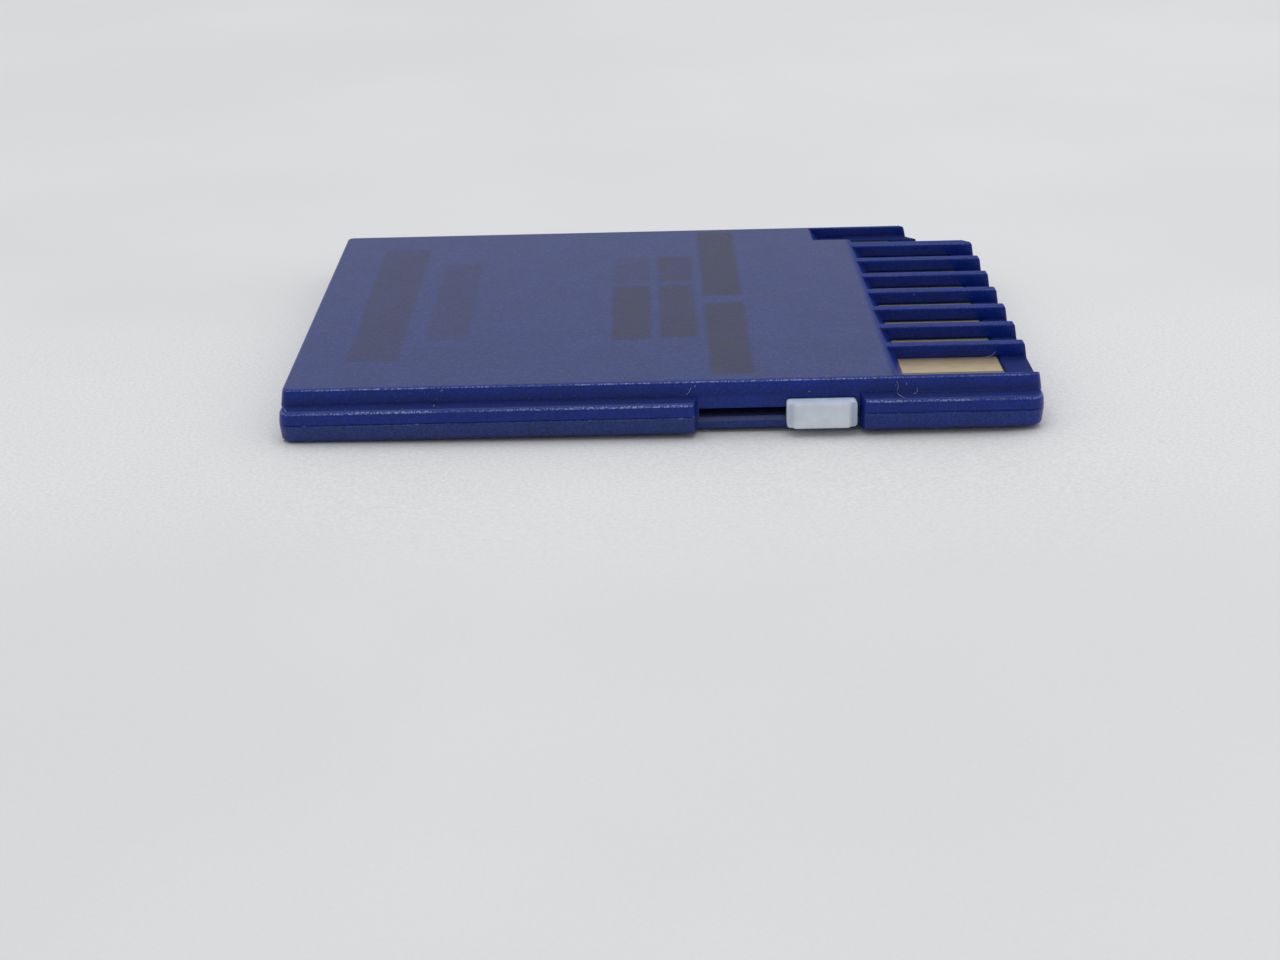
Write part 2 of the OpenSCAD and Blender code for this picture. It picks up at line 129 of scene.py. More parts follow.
class Graph:
    """Builds the nodes of one node tree."""

    def __init__(self, tree):
        self.tree = tree
        self.tree.nodes.clear()

    def node(self, kind, settings=None, values=None, output=0):
        """Adds a node, sets its settings, then fills its sockets."""
        made = self.tree.nodes.new(kind)
        for name, value in (settings or {}).items():
            setattr(made, name, value)
        for name, value in (values or {}).items():
            self.fill(made.inputs[name], value)
        return Wire(self, made.outputs[output]) if made.outputs else None

    def fill(self, socket, value):
        """Links a wire to a socket, or sets the socket's own value."""
        if isinstance(value, Wire):
            self.tree.links.new(value.socket, socket)
        elif socket.type == "RGBA" and len(value) == 3:
            socket.default_value = (*value, 1.0)
        else:
            socket.default_value = value

    def math(self, operation, first, second=0.0, clamp=False):
        return self.node(
            "ShaderNodeMath",
            {"operation": operation, "use_clamp": clamp},
            {0: first, 1: second},
        )

    def clamped(self, wire):
        """The wire held between 0 and 1."""
        return self.math("ADD", wire, 0.0, clamp=True)

    def vector(self, operation, first, second):
        return self.node(
            "ShaderNodeVectorMath", {"operation": operation}, {0: first, 1: second}
        )

    def part(self, vector, axis):
        """One component of a vector."""
        return self.node("ShaderNodeSeparateXYZ", values={0: vector}, output=axis)

    def mix(self, kind, share, under, over, blend="MIX"):
        """Goes from under to over as share goes from 0 to 1."""
        first, output = MIX_SOCKETS[kind]
        return self.node(
            "ShaderNodeMix",
            {"data_type": kind, "blend_type": blend},
            {"Factor": share, first: under, first + 1: over},
            output,
        )

    def tint(self, share, under, over, blend="MIX"):
        """Colour that goes from under to over as share goes from 0 to 1."""
        return self.mix("RGBA", share, under, over, blend)

    def shaded(self, colour, level):
        """The colour made darker or lighter by a level around 1."""
        grey = self.node(
            "ShaderNodeCombineColor", values={0: level, 1: level, 2: level}
        )
        return self.tint(1.0, colour, grey, "MULTIPLY")

    def ramp(self, wire, low, high, start=0.0, end=1.0, smooth=True):
        """start below low, end above high and a slope between them."""
        return self.node(
            "ShaderNodeMapRange",
            {"interpolation_type": "SMOOTHSTEP" if smooth else "LINEAR"},
            {
                "Value": wire,
                "From Min": low,
                "From Max": high,
                "To Min": start,
                "To Max": end,
            },
        )

    def between(self, wire, low, high, soft):
        """1 from low to high, with soft edges."""
        rise = self.ramp(wire, low - soft, low + soft)
        return rise * self.ramp(wire, high - soft, high + soft, 1.0, 0.0)


class Finish(Graph):
    """A procedural material under construction."""

    def __init__(self, name):
        self.material = bpy.data.materials.new(name)
        self.material.use_nodes = True
        super().__init__(self.material.node_tree)
        self.place = self.node("ShaderNodeTexCoord", output="Object")

    def axes(self):
        """Object coordinates x, y and z in millimetres."""
        return [self.part(self.place, axis) / MM for axis in range(3)]

    def facing(self, axis, kind="Normal"):
        """One component of the direction that the surface faces."""
        return self.part(self.node("ShaderNodeNewGeometry", output=kind), axis)

    def grain(self, size, detail=2.0, rough=0.5, stretch=None, shift=0.0):
        """Noise from 0 to 1 with features of about that size."""
        place = self.place
        if stretch:
            place = self.vector("MULTIPLY", place, stretch)
        return self.node(
            "ShaderNodeTexNoise",
            {"noise_dimensions": "4D"},
            {
                "Vector": place,
                "W": shift,
                "Scale": 1.0 / size,
                "Detail": detail,
                "Roughness": rough,
            },
        )

    def eased(self, radius):
        """Normal of the surface with its sharp edges eased."""
        return self.node("ShaderNodeBevel", {"samples": 6}, {"Radius": radius})

    def bump(self, height, depth, strength=1.0, under=None):
        """Normal of the surface, or of the normal under it, with a relief."""
        values = {"Strength": strength, "Distance": depth, "Height": height}
        if under:
            values["Normal"] = under
        return self.node("ShaderNodeBump", values=values)

    def surface(self, **sockets):
        """Ends the finish with a Principled surface and returns its material."""
        values = {
            name.replace("_", " ").title().replace("Ior", "IOR"): value
            for name, value in sockets.items()
        }
        shader = self.node("ShaderNodeBsdfPrincipled", values=values)
        self.node("ShaderNodeOutputMaterial", values={"Surface": shader})
        return self.material


def dress(node_name, material):
    """Gives a CAD node its finish in every slot it has."""
    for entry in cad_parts[node_name].material_slots:
        entry.material = material


def make_object(scene, name, shape, material):
    """Puts a smooth-shaded object of a shape into the scene."""
    mesh = bpy.data.meshes.new(name)
    shape.to_mesh(mesh)
    shape.free()
    mesh.materials.append(material)
    mesh.polygons.foreach_set("use_smooth", [True] * len(mesh.polygons))
    made = bpy.data.objects.new(name, mesh)
    scene.collection.objects.link(made)
    return made


class ShellFinish(PropertyGroup):
    contact_side: FloatVectorProperty(
        name="Contact Side", description="Colour of the contact-side plastic",
        subtype="COLOR", size=3, min=0, max=1, default=(0.003, 0.020, 0.200),
    )
    # Partly the grained face's own tone and partly painted shade: darker than the walls'
    # colour to even out the stronger light that upward faces get from above
    flat_face: FloatVectorProperty(
        name="Flat Face", description="Colour of the grained flat face",
        subtype="COLOR", size=3, min=0, max=1, default=(0.003, 0.018, 0.123),
    )
    label_side: FloatVectorProperty(
        name="Label Side", description="Colour of the label-side plastic",
        subtype="COLOR", size=3, min=0, max=1, default=(0.018, 0.036, 0.168),
    )
    label_end: FloatVectorProperty(
        name="Label Side End", description="Bluer colour towards the contact end",
        subtype="COLOR", size=3, min=0, max=1, default=(0.010, 0.030, 0.205),
    )
    mark: FloatVectorProperty(
        name="Marks", description="Colour of the plain marks on the flat face",
        subtype="COLOR", size=3, min=0, max=1, default=(0.036, 0.025, 0.013),
    )
    # Also the colour of the painted highlight on the label side's rail and the painted
    # glints along its seam
    dust: FloatVectorProperty(
        name="Dust Film", description="Colour of the fine dust on the plastic",
        subtype="COLOR", size=3, min=0, max=1, default=(0.42, 0.43, 0.46),
    )
    # Painted highlight: the colour laid on the rounded upper edges to stand in for their
    # glints
    painted_glint: FloatVectorProperty(
        name="Edge Glint", description="Colour of the bright rounded edges",
        subtype="COLOR", size=3, min=0, max=1, default=(0.31, 0.36, 0.64),
    )
    rib_radius: FloatProperty(
        name="Rib Radius", description="Rounding of the ribs between the contacts",
        subtype="DISTANCE", unit="LENGTH", precision=6, default=0.17 * MM,
    )
    grain_size: FloatProperty(
        name="Grain Size", description="Width of the spark-eroded grain",
        subtype="DISTANCE", unit="LENGTH", precision=6, default=0.09 * MM,
    )
    grain_depth: FloatProperty(
        name="Grain Depth", description="Depth of the spark-eroded grain",
        subtype="DISTANCE", unit="LENGTH", precision=6, default=0.010 * MM,
    )
    edge_radius: FloatProperty(
        name="Edge Radius", description="Rounding of the smallest moulded edges",
        subtype="DISTANCE", unit="LENGTH", precision=6, default=0.035 * MM,
    )


class SliderFinish(PropertyGroup):
    plastic: FloatVectorProperty(
        name="Plastic", description="Colour of the slider",
        subtype="COLOR", size=3, min=0, max=1, default=(0.80, 0.85, 0.93),
    )
    depth: FloatProperty(
        name="Light Depth", description="How far light travels in the plastic",
        subtype="DISTANCE", unit="LENGTH", precision=6, default=0.35 * MM,
    )


class ContactFinish(PropertyGroup):
    plating: FloatVectorProperty(
        name="Plating", description="Colour of the plated contacts",
        subtype="COLOR", size=3, min=0, max=1, default=(0.62, 0.49, 0.31),
    )
    resist: FloatVectorProperty(
        name="Resist", description="Colour of the board's solder resist",
        subtype="COLOR", size=3, min=0, max=1, default=(0.012, 0.035, 0.020),
    )


class DustSettings(PropertyGroup):
    specks: IntProperty(
        name="Specks", description="Number of dust specks along the near side",
        min=0, max=400, default=36,
    )
    seed: IntProperty(
        name="Seed", description="Seed of the scattered specks",
        min=0, default=7,
    )


class StageSettings(PropertyGroup):
    floor: FloatVectorProperty(
        name="Floor", description="Colour of the floor",
        subtype="COLOR", size=3, min=0, max=1, default=(0.76, 0.765, 0.772),
    )
    place: FloatVectorProperty(
        name="Camera Place", description="Where the camera stands",
        subtype="XYZ", unit="LENGTH", size=3, precision=6,
        default=(-0.544 * MM, -91.015 * MM, 31.914 * MM),
    )
    pitch: FloatProperty(
        name="Pitch", description="How far the camera looks down",
        subtype="ANGLE", unit="ROTATION", default=math.radians(23.2181),
    )
    yaw: FloatProperty(
        name="Yaw", description="Turn of the camera to the right",
        subtype="ANGLE", unit="ROTATION", default=math.radians(-0.3016),
    )
    roll: FloatProperty(
        name="Roll", description="Lean of the camera about its line of sight",
        subtype="ANGLE", unit="ROTATION", default=math.radians(-1.4079),
    )
    lens: FloatProperty(
        name="Lens", description="Focal length on a 36 mm wide sensor",
        subtype="DISTANCE_CAMERA", default=57.413,
    )
    key_power: FloatProperty(
        name="Key Power", description="Power of the large lamp overhead",
        subtype="POWER", unit="POWER", default=0.55,
    )
    front_power: FloatProperty(
        name="Front Power", description="Power of the small lamp by the camera",
        subtype="POWER", unit="POWER", default=0.012,
    )


def shell_plastic(name, settings, colour, contact_side):
    """Moulded navy plastic: grained flat face, painted glints on its edges, painted shade
    and highlights, a dust film.
    """
    f = Finish(name)
    x, y, z = f.axes()
    up = f.facing(2)
    level = f.ramp(up, 0.80, 0.97)
    flat = level
    if contact_side:
        ribs = f.ramp(x, *RIB_START)
        ledge = z < LEDGE_TOP + 0.2
        calm = f.clamped(ribs + ledge)
        flat = level * (1.0 - calm * 0.75)
    cloud = f.grain(2.2 * MM, detail=3.0)
    fine = f.grain(settings.grain_size, detail=3.0, rough=0.62, shift=3.0)

    # Body colour, mottled by the mould's grain, with painted shade on the flat faces, the
    # low upward faces and the foot of the walls
    if contact_side:
        # Painted shade, in part: upward faces go to the darker flat-face colour
        body = f.tint(flat, colour, tuple(settings.flat_face))
    else:
        body = f.tint(f.ramp(x, -2.0, 9.0), colour, tuple(settings.label_end))
    pale = [min(1.0, c * 1.25 + 0.004) for c in colour]
    body = f.tint(f.ramp(fine, 0.35, 0.70) * 0.5, body, pale)
    mottle = f.grain(0.055 * MM, detail=1.0, shift=13.0)
    shade = f.ramp(cloud, 0.3, 0.7, 0.93, 1.06)
    shade = shade * (1.0 + (mottle - 0.5) * (2.1 - flat * 0.9))
    if contact_side:
        # Painted light and shade: walls above the ledge go from 20 % darker at their foot
        # to 14 % lighter at the top, and upward faces below 1.6 mm are 35 % darker
        wall = (1.0 - level) * (z > LEDGE_TOP)
        rise = wall * f.ramp(z, LEDGE_TOP + 0.05, TOP - 0.1, -0.20, 0.14)
        shade = shade * (1.0 - level * ledge * 0.35) * (1.0 + rise)
    body = f.shaded(body, shade)

    # Film and specks of dust, and on the label side painted highlights in the dust colour:
    # a lit line along the rail's bevel and broken glints along the seam
    specks = f.ramp(f.grain(0.16 * MM, detail=1.0, shift=9.0), 0.74, 0.80)
    haze = f.grain(0.09 * MM, detail=1.0, stretch=(1.0, 0.5, 1.0), shift=15.0)
    dust_and_painted_highlights = f.ramp(cloud, 0.35, 0.75) * 0.006 + f.ramp(haze, 0.45, 0.75) * 0.044
    dust_and_painted_highlights = specks * 0.10 + flat * dust_and_painted_highlights
    if not contact_side:
        # Painted highlight along the rail's upward bevel
        rail_painted_highlight = f.between(z, *RAIL_BEVEL, 0.02) * f.ramp(up, 0.3, 0.8)
        # Painted glints: broken bright bits along the seam's bevel
        painted_seam_glints = f.grain(0.12 * MM, detail=1.0, stretch=(0.4, 1.0, 1.0), shift=23.0)
        painted_seam_glints = f.ramp(painted_seam_glints, 0.64, 0.74) * f.between(z, *SEAM, 0.008)
        dust_and_painted_highlights = dust_and_painted_highlights + rail_painted_highlight * 0.12 + painted_seam_glints * 0.45
    body = f.tint(f.clamped(dust_and_painted_highlights), body, tuple(settings.dust))
    rough = 0.30 + flat * 0.14 + (fine - 0.5) * 0.10

    # Plain tinted fields, duller ribs and ledges, and painted glints on the edges
    if contact_side:
        marks = mark_fields(f, x, y) * (z > TOP - 0.05)
        worn = f.ramp(f.grain(0.20 * MM, detail=3.0, shift=21.0), 0.28, 0.72)
        body = f.tint(marks * (0.34 + worn * 0.32), body, tuple(settings.mark))
        rough = rough + marks * 0.06 + level * (calm * 0.36 + ledge * 0.15)
    painted_glint = painted_edge_glints(f, z)
    body = f.tint(painted_glint, body, tuple(settings.painted_glint))
    rough = rough - painted_glint * 0.12

    # Relief of the grain on eased edges
    pits = f.grain(settings.grain_size * 2.6, shift=5.0)
    height = fine * (0.35 + flat * 0.65) + pits * (0.15 + flat * 0.85)
    under = f.eased(settings.edge_radius)
    if contact_side:
        under = f.mix("VECTOR", ribs, under, f.eased(settings.rib_radius))
    return f.surface(
        base_color=body,
        roughness=rough,
        specular_ior_level=0.27,
        normal=f.bump(height, settings.grain_depth, under=under),
    )


def painted_edge_glints(f, z):
    """Mask of the painted highlights: broken bright lines on the rounded upper edges."""
    across, along, up = (f.facing(axis, "True Normal") for axis in range(3))
    side = abs(along) + abs(across) * 0.5
    edge = f.between(up, 0.34, 0.68, 0.06) * f.ramp(side, 0.45, 0.60)
    sparkle = f.grain(0.08 * MM, detail=1.0, shift=17.0)
    sparkle = f.ramp(sparkle, 0.42, 0.62, 0.14, 1.0)
    sweep = f.grain(4.0 * MM, detail=1.0, shift=19.0)
    sweep = f.ramp(sweep, 0.38, 0.60, 0.30, 0.9)
    return f.clamped(edge * sparkle * sweep * (z > 0.5))


# Plain fields where the flat face carries a tint: low x, high x, low y and
# high y in millimetres, and strength
MARK_FIELDS = [
    (-2.08, -0.34, -5.76, 1.9, 0.95),
    (-2.08, -0.34, 2.5, 6.50, 0.45),
    (0.07, 1.73, -5.57, 1.9, 0.90),
    (0.07, 1.73, 2.5, 6.47, 0.85),
    (2.14, 3.95, -10.41, -0.9, 1.00),
    (2.14, 3.95, 0.2, 10.62, 1.00),
    (-13.60, -11.35, -7.83, 8.57, 0.66),
    (-10.39, -8.50, -5.37, 6.03, 0.50),
]
# How soft their edges are in x and in y, in millimetres
MARK_SOFT_X, MARK_SOFT_Y = 0.16, 0.20


def mark_fields(f, x, y):
    """Mask of the plain tinted fields on the flat face."""
    total = None
    for low_x, high_x, low_y, high_y, strength in MARK_FIELDS:
        field = f.between(x, low_x, high_x, MARK_SOFT_X) * strength
        field = field * f.between(y, low_y, high_y, MARK_SOFT_Y)
        total = field if total is None else total + field
    return f.clamped(total)


class CARD_OT_shells(Operator):
    """Finishes both moulded shells"""

    bl_idname = "memory_card.shells"
    bl_label = "Shells"

    def execute(self, context):
        settings = context.scene.card_shells
        dress("contact_shell", shell_plastic(
            "contact_side_plastic", settings, tuple(settings.contact_side), True
        ))
        dress("label_shell", shell_plastic(
            "label_side_plastic", settings, tuple(settings.label_side), False
        ))
        return {"FINISHED"}


# Painted shade on the facets at both ends of the slider's pad: x where each starts and is
# full, in millimetres, and the darker tone that it gives them beside the pad
PAINTED_SHADE_ON_SLIDER_ENDS = (
    (7.86, 7.96, (0.60, 0.64, 0.76)),
    (5.53, 5.43, (0.76, 0.79, 0.87)),
)


class CARD_OT_slider(Operator):
    """Finishes the write-protect slider"""

    bl_idname = "memory_card.slider"
    bl_label = "Slider"

    def execute(self, context):
        settings = context.scene.card_slider
        f = Finish("slider_plastic")
        cloud = f.grain(0.9 * MM, detail=3.0)
        fine = f.grain(0.07 * MM, detail=2.0, shift=2.0)
        scuff = f.grain(0.11 * MM, detail=1.0, stretch=(0.35, 1.0, 1.0), shift=4.0)
        scuff = f.ramp(scuff, 0.70, 0.80)
        plastic = tuple(settings.plastic)
        dark = tuple(c * 0.86 for c in plastic)
        body = f.tint(f.ramp(cloud, 0.3, 0.7), dark, plastic)
        x = f.axes()[0]
        front = f.ramp(f.facing(1), -0.5, -0.7)
        # Painted shade: the end facets of the front face are darkened
        for low, high, over in PAINTED_SHADE_ON_SLIDER_ENDS:
            body = f.tint(f.ramp(x, low, high) * front, body, over, "MULTIPLY")
        # Painted shade: the slider's upward faces are darker and bluer
        top = f.ramp(f.facing(2), 0.6, 0.9)
        body = f.tint(top, body, (0.82, 0.89, 0.98), "MULTIPLY")
        body = f.tint(scuff * 0.12, body, (0.30, 0.31, 0.34))
        normal = f.bump(fine + cloud * 1.5, 0.006 * MM, under=f.eased(0.05 * MM))
        dress("write_protect_slider", f.surface(
            base_color=body,
            roughness=0.34 + (fine - 0.5) * 0.14,
            subsurface_weight=0.35,
            subsurface_radius=(1.0, 1.0, 1.1),
            subsurface_scale=settings.depth,
            normal=normal,
        ))
        return {"FINISHED"}


class CARD_OT_contacts(Operator):
    """Finishes the nine plated contacts and the test pads"""

    bl_idname = "memory_card.contacts"
    bl_label = "Contacts"

    def execute(self, context):
        plating = tuple(context.scene.card_contacts.plating)
        f = Finish("contact_gold")
        cloud = f.grain(0.8 * MM, detail=3.0)
        wipe = f.grain(0.10 * MM, detail=3.0, stretch=(0.05, 1.0, 1.0), shift=2.0)
        fine = f.grain(0.04 * MM, detail=2.0, shift=6.0)
        dull = tuple(c * k for c, k in zip(plating, (0.88, 0.91, 0.98)))
        body = f.tint(f.ramp(cloud, 0.3, 0.72), plating, dull)
        body = f.tint(f.ramp(wipe, 0.50, 0.75) * 0.25, body, (0.47, 0.43, 0.36))
        rough = 0.45 + f.ramp(wipe, 0.45, 0.75) * 0.08 + (fine - 0.5) * 0.10
        normal = f.bump(wipe * 1.2 + fine * 0.5, 0.003 * MM)
        material = f.surface(
            base_color=body, metallic=0.8, roughness=rough, normal=normal
        )
        for name in CONTACTS + ["test_pads"]:
            dress(name, material)
        return {"FINISHED"}


class CARD_OT_board(Operator):
    """Finishes the circuit board"""

    bl_idname = "memory_card.board"
    bl_label = "Board"

    def execute(self, context):
        resist = tuple(context.scene.card_contacts.resist)
        f = Finish("board_resist")
        weave = f.grain(0.30 * MM, detail=2.0, stretch=(1.0, 0.25, 1.0))
        cross = f.grain(0.30 * MM, detail=2.0, stretch=(0.25, 1.0, 1.0), shift=3.0)
        light = tuple(c * 1.7 + 0.003 for c in resist)
        body = f.tint(f.ramp(weave + cross, 0.8, 1.2), resist, light)
        normal = f.bump(weave + cross, 0.004 * MM, under=f.eased(0.03 * MM))
        dress("circuit_board", f.surface(
            base_color=body, roughness=0.36 + (weave - 0.5) * 0.1, normal=normal
        ))
        return {"FINISHED"}


class CARD_OT_chips(Operator):
    """Finishes the packages, chip parts and soldered metal inside"""

    bl_idname = "memory_card.chips"
    bl_label = "Chips"

    def execute(self, context):
        moulding = self.grained("chip_moulding", (0.012, 0.012, 0.013), 0.05, 0.62)
        ceramic = self.grained("capacitor_ceramic", (0.33, 0.22, 0.13), 0.09, 0.50)
        glaze = self.grained("resistor_glaze", (0.010, 0.010, 0.012), 0.12, 0.25)
        dress("flash_package", moulding)
        dress("controller_chip", moulding)
        dress("capacitor_bodies", ceramic)
        dress("resistor_bodies", glaze)
        f = Finish("tinned_metal")
        flow = f.grain(0.12 * MM, detail=3.0)
        body = f.tint(f.ramp(flow, 0.3, 0.7), (0.60, 0.60, 0.58), (0.74, 0.74, 0.71))
        tinned = f.surface(
            base_color=body,
            metallic=1.0,
            roughness=0.28 + flow * 0.18,
            normal=f.bump(flow, 0.006 * MM),
        )
        for name in TINNED:
            dress(name, tinned)
        return {"FINISHED"}

    def grained(self, name, colour, grain_mm, rough):
        """A dull moulded finish with a fine grain."""
        f = Finish(name)
        grain = f.grain(grain_mm * MM, detail=3.0)
        light = tuple(c * 1.6 + 0.004 for c in colour)
        body = f.tint(f.ramp(grain, 0.35, 0.7), colour, light)
        return f.surface(
            base_color=body,
            roughness=rough + (grain - 0.5) * 0.16,
            normal=f.bump(grain, 0.008 * MM, under=f.eased(0.03 * MM)),
        )


# Lint on the near side, and one thread that is a painted highlight: points of each fibre
# in millimetres
LINT_AND_PAINTED_GLINT = (
    ((9.83, -11.235, 1.91), (9.90, -11.27, 1.70), (9.84, -11.29, 1.48)),
    ((10.22, -11.24, 1.86), (10.26, -11.27, 1.80), (10.22, -11.27, 1.74)),
    ((10.69, -11.29, 1.61), (10.66, -11.40, 1.46), (10.50, -11.50, 1.43)),
    ((9.85, -11.34, 1.44), (9.92, -11.62, 1.43), (10.11, -11.90, 1.41)),
    ((14.15, -7.40, 1.53), (14.30, -7.75, 1.66), (14.44, -8.30, 2.06)),
    ((1.26, -11.29, 1.87), (1.17, -11.31, 1.68), (1.04, -11.30, 1.52)),
    ((-15.535, -11.97, 0.74), (-15.55, -11.96, 0.60), (-15.505, -11.95, 0.45)),
    # Painted highlight: this light thread lies along the ledge's rounded rear corner,
    # where that corner shines
    ((-15.74, -11.60, 1.50), (-15.66, -11.75, 1.42), (-15.56, -11.90, 1.37)),
    ((1.74, -11.78, 0.135), (1.90, -11.81, 0.10), (2.08, -11.83, 0.02)),
)
FIBRE_RADIUS = 0.009
# Single specks: place and radius in millimetres. The eight along the seam, z 0.70 to 0.82,
# are painted glints on the seam's bevel
SPECKS = (
    (-9.13, -11.24, 1.96, 0.032), (-9.47, -11.60, 1.42, 0.028),
    (1.42, -11.25, 1.90, 0.030), (6.19, -11.26, 1.55, 0.032),
    # Painted glints along the seam, in this row and the next three
    (0.24, -11.95, 0.70, 0.030), (0.38, -11.95, 0.70, 0.024),
    (1.22, -11.94, 0.82, 0.028), (1.34, -11.94, 0.81, 0.024),
    (8.90, -11.95, 0.74, 0.030), (9.30, -11.95, 0.73, 0.026),
    (10.12, -11.95, 0.72, 0.030), (10.70, -11.95, 0.73, 0.026),
    (11.95, -0.27, 2.06, 0.030),
)
# Where loose specks lie, in millimetres: spans of x beside the switch notch, the
# longer one twice as likely, y and z of the wall's top edge, and y across the ledge
SPECK_SPANS = ((-15.0, 1.2), (-15.0, 1.2), (8.6, 15.0))
WALL_TOP = (-11.245, 1.97)
LEDGE = (-11.85, -11.45)


class CARD_OT_dust(Operator):
    """Scatters dust specks and lays a few lint fibres on the near side; the specks along
    the seam and one thread on the ledge's rear corner are painted glints
    """

    bl_idname = "memory_card.dust"
    bl_label = "Dust"

    def execute(self, context):
        settings = context.scene.card_dust
        dice = random.Random(settings.seed)
        f = Finish("dust_lint_and_painted_glints")
        tuft = f.grain(0.02 * MM, detail=2.0)
        material = f.surface(
            base_color=f.tint(tuft, (0.20, 0.23, 0.36), (0.46, 0.49, 0.60)),
            roughness=0.85,
            normal=f.bump(tuft, 0.003 * MM),
        )
        specks = bmesh.new()
        for x, y, z, radius in SPECKS:
            self.add_speck(specks, dice, (x, y, z), radius)
        for _ in range(settings.specks):
            share = dice.random()
            x = dice.uniform(*dice.choice(SPECK_SPANS))
            if dice.random() < 0.6:
                place = (x, WALL_TOP[0] - 0.05 * share, WALL_TOP[1] - 0.5 * share)
            else:
                place = (x, dice.uniform(*LEDGE), LEDGE_TOP)
            self.add_speck(specks, dice, place, dice.uniform(0.006, 0.014))
        self.keep(context, "dust_specks_and_painted_glints", specks, material)
        lint = bmesh.new()
        for points in LINT_AND_PAINTED_GLINT:
            self.add_fibre(lint, points, FIBRE_RADIUS)
        self.keep(context, "lint_and_painted_glint", lint, material)
        return {"FINISHED"}

    def add_speck(self, shape, dice, place, radius):
        """An uneven crumb."""
        centre = Vector(place) * MM
        made = bmesh.ops.create_icosphere(
            shape,
            subdivisions=2,
            radius=radius * MM,
            matrix=Matrix.Translation(centre),
        )
        squash = [dice.uniform(0.6, 1.2) for _ in range(3)]
        for vertex in made["verts"]:
            offset = (vertex.co - centre) * dice.uniform(0.6, 1.15)
            vertex.co = centre + Vector(a * b for a, b in zip(offset, squash))

    def add_fibre(self, shape, points, radius):
        """A thin curved thread through three points, tapered at its ends."""
        start, middle, end = (Vector(point) * MM for point in points)
        bend = 2.0 * middle - 0.5 * (start + end)
        steps, sides = 12, 6
        rings = []
        for step in range(steps + 1):
            t = step / steps
            centre = (1 - t) ** 2 * start + 2 * t * (1 - t) * bend + t * t * end
            ahead = ((1 - t) * (bend - start) + t * (end - bend)).normalized()
            side = ahead.orthogonal().normalized()
            over = ahead.cross(side)
            width = radius * MM * (0.35 + 0.65 * math.sin(math.pi * t) ** 0.5)
            rings.append([
                shape.verts.new(
                    centre + width * (math.cos(a) * side + math.sin(a) * over)
                )
                for a in (corner * math.tau / sides for corner in range(sides))
            ])
        for near, far in zip(rings, rings[1:]):
            for j in range(sides):
                shape.faces.new((near[j], near[j - 1], far[j - 1], far[j]))
        shape.faces.new(rings[0])
        shape.faces.new(rings[-1][::-1])

    def keep(self, context, name, shape, material):
        """Makes a piece of the finished shape, fixed to the card."""
        bmesh.ops.recalc_face_normals(shape, faces=shape.faces)
        piece = make_object(context.scene, name, shape, material)
        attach(piece, "card")


def world_light(scene):
    """Soft studio surround: bright above and behind, dimmer by the camera."""
    world = bpy.data.worlds.new("studio_surround")
    world.use_nodes = True
    scene.world = world
    sky = Graph(world.node_tree)
    back = sky.part(sky.node("ShaderNodeTexCoord", output="Generated"), 1)
    light = sky.node("ShaderNodeBackground", values={
        "Color": (0.97, 0.985, 1.0),
        "Strength": sky.ramp(back, -0.9, 0.5, 0.42, 0.86, smooth=False),
    })
    sky.node("ShaderNodeOutputWorld", values={"Surface": light})


# How far the floor sheet sags along the card's near side: x and depth in
# millimetres
SAG = (
    (-16.0, 0.0), (-13.9, 0.05), (-9.6, 0.12), (-5.0, 0.15), (1.0, 0.20),
    (8.0, 0.245), (9.9, 0.215), (11.7, 0.23), (13.6, 0.22), (15.0, 0.195),
    (15.7, 0.155), (16.3, 0.08), (18.0, 0.0),
)
# The sag is full between two places in y and fades over a width on either side
# of them: under the card and in front of it, in millimetres
SAG_BACK, SAG_BACK_FADE = -10.0, 9.0
SAG_FRONT, SAG_FRONT_FADE = -14.0, 16.0
# The sheet's grid has small faces by the card and large ones far from it: u from
# -1 to 1 goes to near reach times u plus far reach times u cubed
FLOOR_CELLS = 140
FLOOR_NEAR_REACH = 0.05
FLOOR_FAR_REACH = 1.15
# Strip in y along the card where the sheet's texture shows and a painted pool of light
# brightens it, in millimetres
TEXTURE_AND_LIGHT_STRIP = (-21.0, 4.0)


